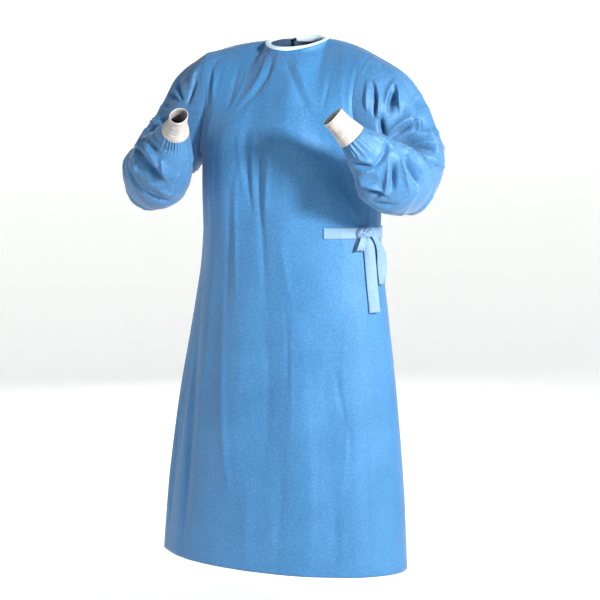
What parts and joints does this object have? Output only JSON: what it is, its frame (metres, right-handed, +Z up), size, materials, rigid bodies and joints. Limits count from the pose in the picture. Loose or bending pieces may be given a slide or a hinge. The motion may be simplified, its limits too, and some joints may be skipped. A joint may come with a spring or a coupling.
{
  "type": "surgical gown",
  "caption": "Long-sleeved wraparound surgical gown in its worn shape, empty, with ribbed knit cuffs, a bound neck and waist ties knotted at the wearer's left front.",
  "frame": {"origin": "middle of the neck opening, at the height where the shoulder seams meet the neck, which is where the gown hangs from its wearer", "axes": "+Z up the wearer's body, the gown's front faces -Y, +X is the wearer's left"},
  "size_m": [0.7891, 0.4352, 1.239],
  "materials": {
    "gown_blue": "matte nonwoven with a soft sheen",
    "tie_blue": "matte nonwoven",
    "cuff_white": "matte rib knit",
    "binding_white": "matte nonwoven"
  },
  "bodies": {
    "root": {"front_panel": "gown_blue", "back_left": "gown_blue", "back_right": "gown_blue", "sleeve_left": "gown_blue", "sleeve_right": "gown_blue", "cuff_left": "cuff_white", "cuff_right": "cuff_white", "neck_binding": "binding_white", "front_tie": "tie_blue", "back_tie": "tie_blue", "knot": "tie_blue", "front_tail": "tie_blue", "side_tail": "tie_blue", "bow_loop": "tie_blue"}
  },
  "joints": []
}
